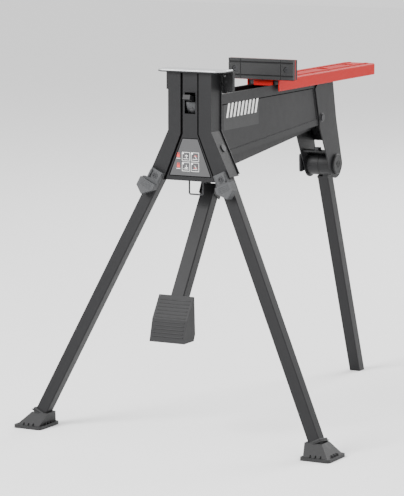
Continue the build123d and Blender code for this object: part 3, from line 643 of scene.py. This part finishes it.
def stand(where: Vector, outward: Vector, up: Vector = Vector((0.0, 0.0, 1.0))) -> Matrix:
    """A place whose own Z looks outward.

    Args:
        where: Its origin.
        outward: The way its own Z looks.
        up: The way its own Y leans.

    Returns:
        The matrix.
    """
    z = outward.normalized()
    x = up.cross(z).normalized()
    y = z.cross(x)
    return Matrix.Translation(where) @ Matrix((x, y, z)).transposed().to_4x4()


FRONT = Vector((0.0, -1.0, 0.0))
RIGHT = Vector((1.0, 0.0, 0.0))
UP = Vector((0.0, 0.0, 1.0))


# ---------------------------------------------------------------- sub-assemblies


@dataclass
class CarriedNodes:
    """The CAD nodes that stay, each with its finish."""

    def dress(self) -> None:
        """Gives each node the finish of its slot."""
        slots = {s["node"]: s["material_slot"] for s in frame["record"]["subparts"]}
        for name, obj in frame["nodes"].items():
            material = PAINT.get(SLOT_FINISH[slots[name]])
            if obj.material_slots:
                for held in obj.material_slots:
                    held.material = material
            else:
                obj.data.materials.append(material)
        log.info("dressed %d nodes", len(frame["nodes"]))


@dataclass
class HeadTrim:
    """Painted shade in the head's pressed folds and round its label, and what is printed and welded on it."""

    groove_top: float = 8.0
    groove_half: float = 24.0
    groove_bend: float = 150.0
    groove_foot: float = 70.0
    groove_end: float = 260.5
    groove_width: float = 4.6
    panel_behind: float = 2.5
    label_behind: float = 3.3
    label_top: tuple[float, float] = (20.6, 160.6)
    label_bottom: tuple[float, float] = (56.3, 250.4)
    label_shade_margin: float = 1.6
    label_share: float = 0.955
    symbol_columns: tuple[float, float] = (-11.0, 13.0)
    symbol_rows: tuple[float, float] = (204.0, 228.0)
    symbol_side: float = 20.0
    symbol_line: float = 0.9
    mark_x: float = -31.0
    bead_x: float = 60.2

    def build_grooves(self) -> None:
        """Painted shade: near-black strips in the folds on each side of the centre panel."""
        shape = Shape()
        place = stand(DATUM.at(0, self.panel_behind + 0.05, 0), FRONT)
        outer, foot = self.groove_half, self.groove_foot
        inner, inner_foot = outer - self.groove_width, foot - self.groove_width * 1.1
        points = [
            (outer, -self.groove_top), (outer, -self.groove_bend), (foot, -self.groove_end),
            (inner_foot, -self.groove_end), (inner, -self.groove_bend - 0.5), (inner, -self.groove_top),
        ]
        # Near-black strips stand in for the shadow inside each fold.
        for side in (-1, 1):
            shape.outline([(side * x, y) for x, y in points], place, 0.3)
        shape.piece("head_groove_painted_shade", "frame", "black_powder_coat", Finish.PAINTED_SHADE)

    def build_label(self) -> None:
        """A plain grey field inside a near-black border of painted shade along the label's recessed edge."""
        (top, top_drop), (low, low_drop) = self.label_top, self.label_bottom
        field_points = [(-top, -top_drop), (top, -top_drop), (low, -low_drop), (-low, -low_drop)]
        # Near-black sheet: painted shade round the recessed label.
        shape = Shape()
        shape.outline(field_points, stand(DATUM.at(0, self.label_behind + 0.02, 0), FRONT), 0.25)
        shape.piece("head_label_painted_shade_border", "frame", "black_powder_coat", Finish.PAINTED_SHADE)
        border = self.label_shade_margin
        inner = [(x * self.label_share, y + (-border if k < 2 else border)) for k, (x, y) in enumerate(field_points)]
        shape = Shape()
        shape.outline(inner, stand(DATUM.at(0, self.label_behind, 0), FRONT), 0.6)
        shape.piece("head_label_field", "frame", "black_powder_coat", Finish.LABEL)

    def line(
        self, shape: Shape, place: Matrix, x: float, y: float, wide: float, tall: float, turn: float = 0.0
    ) -> None:
        """A printed bar.

        Args:
            shape: Where it is added.
            place: The printed field.
            x: Its middle, to the right.
            y: Its middle, upwards.
            wide: Its width.
            tall: Its height.
            turn: Its turn, in degrees.
        """
        at = place @ Matrix.Translation(Vector((x, y, 0.0)) * MM) @ Matrix.Rotation(math.radians(turn), 4, "Z")
        shape.block((wide, tall, 0.12), at)

    def build_symbols(self) -> None:
        """Framed fields with plain bars and arrows of no meaning beyond up and down."""
        place = stand(DATUM.at(0, self.label_behind - 0.64, 0), FRONT)
        ink, red = Shape(), Shape()
        half, thick = self.symbol_side / 2, self.symbol_line
        for row, drop in enumerate(self.symbol_rows):
            for column, x in enumerate(self.symbol_columns):
                for side in (-1, 1):
                    self.line(ink, place, x, -drop + side * half, self.symbol_side + thick, thick)
                    self.line(ink, place, x + side * half, -drop, thick, self.symbol_side)
                self.line(ink, place, x - half + 2.6, -drop + half - 2.6, 3.4, 3.4)
                self.line(ink, place, x, -drop - 5.2, 13.0, 1.0)
                tip = 1 if row == 0 else -1
                self.line(ink, place, x + 1.5, -drop, 1.2, 9.0, 28.0 if column else 0.0)
                self.line(red if column else ink, place, x - 0.6, -drop + tip * 2.6, 5.0, 1.2, 40.0 * tip)
                self.line(red if column else ink, place, x + 3.4, -drop + tip * 2.6, 5.0, 1.2, -40.0 * tip)
            self.line(red, place, self.mark_x, -drop + 1.0, 7.6, 6.6)
            for side in (-1, 1):
                self.line(red, place, self.mark_x + side * 2.4, -drop + 5.8, 1.2, 3.6)
            self.line(red, place, self.mark_x, -drop + 7.8, 6.0, 1.2)
            self.line(ink, place, self.mark_x, -drop - 4.8, 10.0, 1.3)
        ink.piece("head_label_print_white", "frame", "silver_plate", Finish.INK)
        red.piece("head_label_print_red", "frame", "red_powder_coat", Finish.MARK)

    def build_welds(self) -> None:
        """Weld beads between the head, its rear lip and the fixed jaw plate."""
        shape = Shape()
        for side in (-1, 1):
            x = side * self.bead_x
            shape.bead(DATUM.at(x, 48.2, 12), DATUM.at(x, 48.2, 30), 2.3, 11, 0.9)
            shape.bead(DATUM.at(x, 48.2, 38), DATUM.at(x, 48.2, 50), 2.3, 8, 0.9)
            shape.bead(DATUM.at(side * 36.0, 48.6, 70), DATUM.at(side * 36.0, 48.6, 145), 1.8, 30, 0.9)
        shape.bead(DATUM.at(-50, 47.8, 7.4), DATUM.at(50, 47.8, 7.4), 1.8, 36, 0.8)
        shape.piece("head_weld_beads", "frame", "black_powder_coat", Finish.FRAME)

    def build(self) -> None:
        """Builds the head's pieces."""
        self.build_grooves()
        self.build_label()
        self.build_symbols()
        self.build_welds()


@dataclass
class LockLeverTrim:
    """Curved shroud below the lock lever, with a raised lock symbol."""

    pin_behind: float = 36.0
    pin_drop: float = 78.0
    reach: float = 29.0
    half: float = 12.0
    start: float = -4.0
    sweep: float = 58.0
    wall: float = 1.6
    symbol_angle: float = 30.0

    def build(self) -> None:
        """Builds the shroud and its symbol."""
        pin = DATUM.at(0, self.pin_behind, self.pin_drop)
        shape = Shape()
        bm = shape.bm
        start = math.radians(self.start)
        radii = (self.reach - self.wall, self.reach)
        ring = [
            bm.verts.new(pin + Vector((x * MM, -math.cos(start) * r * MM, -math.sin(start) * r * MM)))
            for r, x in ((radii[0], -self.half), (radii[1], -self.half), (radii[1], self.half), (radii[0], self.half))
        ]
        face = bm.faces.new(ring)
        bmesh.ops.spin(
            bm, geom=[face, *face.edges, *ring], cent=pin, axis=(1, 0, 0), angle=math.radians(self.sweep), steps=14,
            use_merge=False,
        )
        bmesh.ops.remove_doubles(bm, verts=bm.verts[:], dist=0.000001)
        bmesh.ops.recalc_face_normals(bm, faces=bm.faces[:])
        shape.piece("lock_lever_shroud", "lock_lever", "black_powder_coat", Finish.LATCH)
        symbol = Shape()
        angle = math.radians(self.symbol_angle)
        outward = Vector((0.0, -math.cos(angle), -math.sin(angle)))
        place = stand(pin + outward * (self.reach - 0.1) * MM, outward)
        shift = Matrix.Translation(Vector((0.0, -3.4, 0.2)) * MM)
        symbol.block((9.6, 7.6, 1.1), place @ shift, 0.3)
        for side in (-1, 1):
            symbol.block((1.4, 4.6, 1.0), place @ Matrix.Translation(Vector((side * 3.0, 2.2, 0.2)) * MM), 0.2)
        symbol.block((7.4, 1.4, 1.0), place @ Matrix.Translation(Vector((0.0, 4.8, 0.2)) * MM), 0.2)
        symbol.piece("lock_symbol", "lock_lever", "grey_latch_plastic", Finish.LABEL)


class Side(Enum):
    """The two front legs."""

    RIGHT = "right"
    LEFT = "left"


@dataclass
class FrontLegTrim:
    """Latch mouldings and foot collar of one front leg."""

    side: Side
    latch_face: float = 27.3
    grip_face: float = 39.3
    screw_at: float = 72.0
    foot_rise: float = 36.0
    tube: float = 30.0

    def leg(self) -> Matrix:
        """The right leg's own frame: X along its pin, Z down the leg, Y forwards.

        Returns:
            Its matrix.
        """
        joints = {j["name"]: j for j in frame["joints"]}
        x = Vector(joints["front_leg_fold_right"]["axis"]).normalized()
        z = Vector(joints["leg_latch_slide_right"]["axis"]).normalized()
        pin = Vector(joints["front_leg_fold_right"]["pos_m"])
        return Matrix.Translation(pin) @ Matrix((x, z.cross(x), z)).transposed().to_4x4()

    def put(self, x: float, y: float, distance: float) -> Matrix:
        """A place on the right leg, its own Z along the leg.

        Args:
            x: Distance along the pin, in millimetres.
            y: Distance forwards, in millimetres.
            distance: Distance down the leg, in millimetres.

        Returns:
            The matrix.
        """
        return self.leg() @ Matrix.Translation(Vector((x, y, distance)) * MM)

    def finish(self, shape: Shape, name: str, body: str, slot: str, finish: Finish) -> None:
        """Mirrors the shape for the left leg and makes the piece.

        Args:
            shape: The shape, as built for the right leg.
            name: Name of the piece, without its side.
            body: CAD body, without its side.
            slot: Material slot, passed on to the piece.
            finish: Its finish.
        """
        if self.side is Side.LEFT:
            bmesh.ops.scale(shape.bm, vec=(-1.0, 1.0, 1.0), verts=shape.bm.verts[:])
            bmesh.ops.recalc_face_normals(shape.bm, faces=shape.bm.faces[:])
        shape.piece(f"{name}_{self.side.value}", f"{body}_{self.side.value}", slot, finish)

    def build_latch(self) -> None:
        """Collar round the screw, side rail and finger ribs."""
        shape = Shape()
        face_up = Matrix.Rotation(-math.pi / 2, 4, "X")
        collar = [(5.7, -0.5), (5.7, 1.2), (6.5, 1.5), (7.6, 1.3), (8.2, 0.2), (8.2, -0.5), (5.7, -0.5)]
        shape.turned(collar, self.put(0, self.latch_face, self.screw_at) @ face_up)
        shape.block((1.8, 1.6, 22.0), self.put(-13.8, self.latch_face + 0.3, self.screw_at - 1), 0.5)
        shape.block((5.0, 8.0, 20.0), self.put(12.4, self.latch_face + 1.0, 71.0), 1.4, 3)
        for k in range(4):
            shape.block((30.0, 1.8, 1.7), self.put(6.0, self.grip_face, 92.0 + 4.2 * k), 0.6)
        self.finish(shape, "latch_moulding", "leg_latch", "grey_latch_plastic", Finish.LATCH)

    def build_foot(self) -> None:
        """Collar where the tube enters the foot, and ribs up its faces."""
        leg = self.leg()
        down = -leg.to_3x3().col[2].z
        distance = (leg.translation.z - self.foot_rise * MM) / down / MM
        shape = Shape()
        shape.block((self.tube + 9, self.tube + 9, 7.0), self.put(0, 0, distance), 2.0, 3)
        shape.block((self.tube + 13, self.tube + 13, 2.4), self.put(0, 0, distance + 4.0), 1.0, 2)
        low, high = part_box("front_foot_right")
        middle = (low + high) / 2
        for side_x, side_y in ((-1, 0), (1, 0), (0, -1), (0, 1)):
            for shift in (-13.0, 0.0, 13.0):
                where = Vector((
                    middle.x + side_x * (high.x - low.x) * 0.40 + abs(side_y) * shift * MM,
                    middle.y + side_y * (high.y - low.y) * 0.415 + abs(side_x) * shift * MM,
                    low.z + 10.5 * MM,
                ))
                size = (8.0, 2.2, 6.0) if side_x else (2.2, 8.0, 6.0)
                shape.block(size, Matrix.Translation(where), 0.7)
        self.finish(shape, "foot_moulding", "front_leg", "foot_plastic", Finish.FOOT)

    def build(self) -> None:
        """Builds the leg's pieces."""
        self.build_latch()
        self.build_foot()


@dataclass
class PedalTrim:
    """Grip ribs on the tread and the return spring round the pedal's pin."""

    angle: float = 33.0
    start_behind: float = 104.0
    start_drop: float = 296.0
    arm_length: float = 322.0
    arm_half: float = 15.0
    tread_half: float = 46.0
    wall: float = 3.0
    ribs: int = 6
    spring_radius: float = 9.0
    spring_wire: float = 1.8
    spring_turns: int = 7

    def build_ribs(self) -> None:
        """Raised ribs across the two faces of the tread."""
        a = math.radians(self.angle)
        along = Vector((0.0, -math.sin(a), -math.cos(a)))
        out = Vector((0.0, -math.cos(a), math.sin(a)))
        top = DATUM.at(0, self.start_behind, self.start_drop)
        top = top + along * (self.arm_length - 30) * MM + out * (self.arm_half + self.wall) * MM
        rib = (2 * self.tread_half - 12, 2.6, 2.4)
        shape = Shape()
        for k in range(self.ribs):
            place = stand(top + along * (2.0 + 9.0 * k) * MM, out, -along)
            shape.block(rib, place, 0.8)
        bend = top + along * 52 * MM
        toe_way = Vector((0.0, -14.0, -48.0)).normalized()
        toe_out = Vector((0.0, -48.0, 14.0)).normalized()
        for k in range(self.ribs - 1):
            place = stand(bend + toe_way * (6.0 + 8.6 * k) * MM, toe_out, -toe_way)
            shape.block(rib, place, 0.8)
        shape.piece("pedal_tread_ribs", "pedal", "black_powder_coat", Finish.FOOT)

    def build_spring(self) -> None:
        """A torsion spring wound round the pin inside the belly rail."""
        low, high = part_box("pedal_pivot_pin")
        middle = (low + high) / 2
        data = bpy.data.curves.new("pedal_return_spring", "CURVE")
        data.dimensions, data.bevel_depth, data.bevel_resolution = "3D", self.spring_wire * MM / 2, 2
        spline = data.splines.new("NURBS")
        steps = self.spring_turns * 12
        spline.points.add(steps)
        for k in range(steps + 1):
            turn = math.tau * k / 12
            x = (k / steps - 0.5) * self.spring_turns * (self.spring_wire + 0.5) * MM
            y, z = math.cos(turn) * self.spring_radius * MM, math.sin(turn) * self.spring_radius * MM
            spline.points[k].co = (middle.x + x, middle.y + y, middle.z + z, 1.0)
        spline.order_u, spline.use_endpoint_u = 3, True
        obj = bpy.data.objects.new("pedal_return_spring", data)
        bpy.context.scene.collection.objects.link(obj)
        data.materials.append(PAINT.get(Finish.CLUTCH))
        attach(obj, "frame")
        log.info("pedal_return_spring rides on frame")

    def build(self) -> None:
        """Builds the pedal's pieces."""
        self.build_ribs()
        self.build_spring()


@dataclass
class HipTrim:
    """Rings on the hip cap, finger ribs on the lever, and washers under the bracket bolts."""

    washer_x: float = 37.0
    ribs: int = 4
    rib_pitch: float = 5.0

    def build(self) -> None:
        """Builds the rings, ribs and washers."""
        low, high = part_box("hip_cap")
        centre = Vector((high.x, (low.y + high.y) / 2, (low.z + high.z) / 2))
        place = stand(centre, RIGHT)
        ring = Shape()
        rim = [(22.0, -0.3), (22.0, 0.3), (22.5, 0.5), (23.4, 0.5), (23.9, 0.2), (23.9, -0.3), (22.0, -0.3)]
        boss = [(4.8, -0.3), (4.8, 0.4), (5.2, 0.7), (6.4, 0.7), (6.9, 0.3), (6.9, -0.3), (4.8, -0.3)]
        for profile in (rim, boss):
            ring.turned(profile, place)
        ring.piece("hip_cap_rings", "frame", "black_jaw_plastic", Finish.PAD)
        lever = Shape()
        box_low, box_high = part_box("hip_lock_lever")
        for k in range(self.ribs):
            where = Vector((box_low.x, box_low.y + (7.0 + self.rib_pitch * k) * MM, (box_low.z + box_high.z) / 2))
            lever.block((2.0, 2.2, 24.0), Matrix.Translation(where), 0.7)
        lever.piece("hip_lever_ribs", "hip_lever", "black_powder_coat", Finish.PAD)
        washers = Shape()
        bolt_low, bolt_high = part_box("bracket_bolts")
        y, z = (bolt_low.y + bolt_high.y) / 2, (bolt_low.z + bolt_high.z) / 2
        washer = [(4.5, 0.0), (4.5, 0.9), (11.2, 0.9), (12.0, 0.4), (12.0, 0.0), (4.5, 0.0)]
        for side in (-1, 1):
            washers.turned(washer, stand(Vector((side * self.washer_x * MM, y, z)), RIGHT * side))
        washers.piece("bracket_washers", "frame", "black_fastener", Finish.FASTENER)


@dataclass
class BeamTrim:
    """Plain printed bars on the beam's sides, and painted shade and painted highlights along the edges of the pressed
    panel below its top.
    """

    side_x: float = 33.0
    first: float = 122.0
    bars: int = 9
    pitch: float = 18.5
    width: float = 9.5
    top: float = 86.0
    bottom: float = 122.0
    lean: float = 11.0
    panel_start: float = 80.0
    panel_end: float = 592.0
    panel_top: float = 88.0
    foot_end: float = 616.0
    foot_start_drop: float = 203.9
    foot_end_drop: float = 169.1
    painted_highlight: float = 1.3
    shade_width: float = 2.2
    patch: tuple[float, float, float, float] = (110.0, 292.0, 81.0, 151.0)

    def strip(self, shape: Shape, side: int, ends: Sequence[Sequence[float]], height: float, lift: float) -> None:
        """A flat strip on one side of the beam.

        Args:
            shape: What it joins.
            side: -1 for the left side, 1 for the right.
            ends: Its corners, as (behind the face, drop) in millimetres.
            height: Its thickness, in millimetres.
            lift: How far off the steel it starts, in millimetres.
        """
        place = stand(DATUM.at(side * (self.side_x + lift), 0, 0), RIGHT * side)
        shape.outline([(side * y, -drop) for y, drop in ends], place, height)

    def build_panel(self) -> None:
        """The painted shade below the panel's top, painted highlights along its foot and rear edges, and the patch
        behind the bars.
        """
        shade_line, painted_highlight, patch = Shape(), Shape(), Shape()
        start, end, top = self.panel_start, self.panel_end, self.panel_top
        foot, near, far = self.foot_end, self.foot_start_drop, self.foot_end_drop
        wide, edge = self.painted_highlight, top + self.shade_width
        first, last, high, low = self.patch
        for side in (-1, 1):
            # Near-black strip: painted shade under the panel's top edge; lighter strips: painted highlights on its
            # lower and rear step edges.
            self.strip(shade_line, side, [(start, top), (end, top), (end, edge), (start, edge)], 0.05, 0.02)
            self.strip(painted_highlight, side, [(start, near), (foot, far), (foot, far + wide), (start, near + wide)], 0.25, 0.0)
            self.strip(painted_highlight, side, [(end, top), (end + wide, top), (foot + wide, far), (foot, far)], 0.25, 0.0)
            self.strip(patch, side, [(first, high), (last, high), (last, low), (first, low)], 0.01, 0.005)
        shade_line.piece("beam_panel_shade", "frame", "black_powder_coat", Finish.PAINTED_SHADE)
        painted_highlight.piece("beam_panel_painted_highlights", "frame", "black_powder_coat", Finish.CREASE)
        patch.piece("beam_side_patches", "frame", "black_powder_coat", Finish.PATCH)

    def build_bars(self) -> None:
        """A row of plain slanted bars, the same on both sides."""
        shape = Shape()
        for side in (-1, 1):
            for k in range(self.bars):
                y = self.first + k * self.pitch
                ends = [(y, -self.bottom), (y + self.width, -self.bottom), (y + self.width + self.lean, -self.top),
                        (y + self.lean, -self.top)]
                self.strip(shape, side, [(u, -v) for u, v in ends], 0.2, 0.03)
        shape.piece("beam_plain_bars", "frame", "silver_plate", Finish.INK)

    def build(self) -> None:
        """Builds the beam's pieces."""
        self.build_panel()
        self.build_bars()


@dataclass
class ArmTrim:
    """Rolled hems along the red arm's skirts."""

    skirt_x: float = 42.75
    hem_radius: float = 1.5

    def build(self) -> None:
        """Builds the hems."""
        low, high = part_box("sliding_arm")
        shape = Shape()
        length = (high.y - low.y) / MM
        for side in (-1, 1):
            where = Vector((side * self.skirt_x * MM, low.y, low.z + 0.2 * MM))
            profile = [(0.0, 0.0), (self.hem_radius, 0.3), (self.hem_radius, length - 0.3), (0.0, length)]
            shape.turned(profile, stand(where, Vector((0.0, 1.0, 0.0))), 14)
        shape.piece("arm_skirt_hems", "jaw", "red_powder_coat", Finish.ARM)


@dataclass
class Studio:
    """Plain floor, soft lights and the camera."""

    azimuth: float = 28.0
    elevation: float = 8.4
    distance: float = 7.0
    margin: float = 1.12
    floor_size: float = 30.0
    floor_colour: tuple[float, float, float] = (0.94, 0.94, 0.94)
    image: tuple[int, int] = (404, 496)
    aim: tuple[float, float, float] = (0.0, 0.0, 0.45)
    sky: float = 1.25
    lamps: tuple[tuple[str, tuple[float, float, float], float, float], ...] = (
        ("key", (-1.6, -4.2, 3.4), 2.4, 420.0),
        ("fill", (4.2, -2.4, 2.2), 3.0, 34.0),
        ("back", (1.0, 4.5, 3.6), 3.0, 260.0),
    )

    def sight(self) -> Vector:
        """The way from the object to the camera."""
        a, e = math.radians(self.azimuth), math.radians(self.elevation)
        return Vector((math.sin(a) * math.cos(e), -math.cos(a) * math.cos(e), math.sin(e)))

    def build_camera(self) -> None:
        """Aims the camera so that the whole object fills the frame."""
        sight = self.sight()
        x = UP.cross(sight).normalized()
        y = sight.cross(x)
        low, high = [1e9, 1e9], [-1e9, -1e9]
        for obj in frame["nodes"].values():
            for v in obj.data.vertices:
                flat = (v.co.dot(x), v.co.dot(y))
                for k in (0, 1):
                    low[k], high[k] = min(low[k], flat[k]), max(high[k], flat[k])
        middle = x * (low[0] + high[0]) / 2 + y * (low[1] + high[1]) / 2
        wide, tall = self.image
        span = max((high[1] - low[1]), (high[0] - low[0]) * tall / wide) * self.margin
        data = bpy.data.cameras.new("camera")
        data.sensor_fit = "VERTICAL"
        data.angle_y = 2 * math.atan(span / 2 / self.distance)
        camera = bpy.data.objects.new("camera", data)
        camera.matrix_world = Matrix.Translation(middle + sight * self.distance) @ Matrix(
            (x, y, sight)
        ).transposed().to_4x4()
        bpy.context.scene.collection.objects.link(camera)
        bpy.context.scene.camera = camera

    def build_floor(self) -> None:
        """A plain pale floor."""
        shape = Shape()
        bmesh.ops.create_grid(shape.bm, x_segments=1, y_segments=1, size=self.floor_size / 2)
        mesh = bpy.data.meshes.new("floor")
        shape.bm.to_mesh(mesh)
        shape.bm.free()
        floor = bpy.data.objects.new("floor", mesh)
        bpy.context.scene.collection.objects.link(floor)
        g = Graph("pale_floor")
        mesh.materials.append(g.finish(Base_Color=(*self.floor_colour, 1.0), Roughness=0.9))

    def build_light(self, name: str, where: Sequence[float], size: float, power: float) -> None:
        """A soft lamp that looks at the object.

        Args:
            name: Its name.
            where: Its place.
            size: Its side, in metres.
            power: Its power, in watts.
        """
        data = bpy.data.lights.new(name, "AREA")
        data.shape, data.size, data.energy = "SQUARE", size, power
        lamp = bpy.data.objects.new(name, data)
        place = Vector(where)
        way = (Vector(self.aim) - place).normalized()
        lamp.matrix_world = Matrix.Translation(place) @ way.to_track_quat("-Z", "Y").to_matrix().to_4x4()
        bpy.context.scene.collection.objects.link(lamp)

    def build(self) -> None:
        """Sets the whole stage."""
        self.build_camera()
        self.build_floor()
        for lamp in self.lamps:
            self.build_light(*lamp)
        world = bpy.data.worlds.new("studio")
        world.use_nodes = True
        background = world.node_tree.nodes["Background"]
        background.inputs["Color"].default_value = (1.0, 1.0, 1.0, 1.0)
        background.inputs["Strength"].default_value = self.sky
        bpy.context.scene.world = world


def main() -> None:
    """Builds every class in order."""
    CarriedNodes().dress()
    HeadTrim().build()
    LockLeverTrim().build()
    for side in Side:
        FrontLegTrim(side).build()
    PedalTrim().build()
    HipTrim().build()
    BeamTrim().build()
    ArmTrim().build()
    Studio().build()


if __name__ == "__main__":
    main()
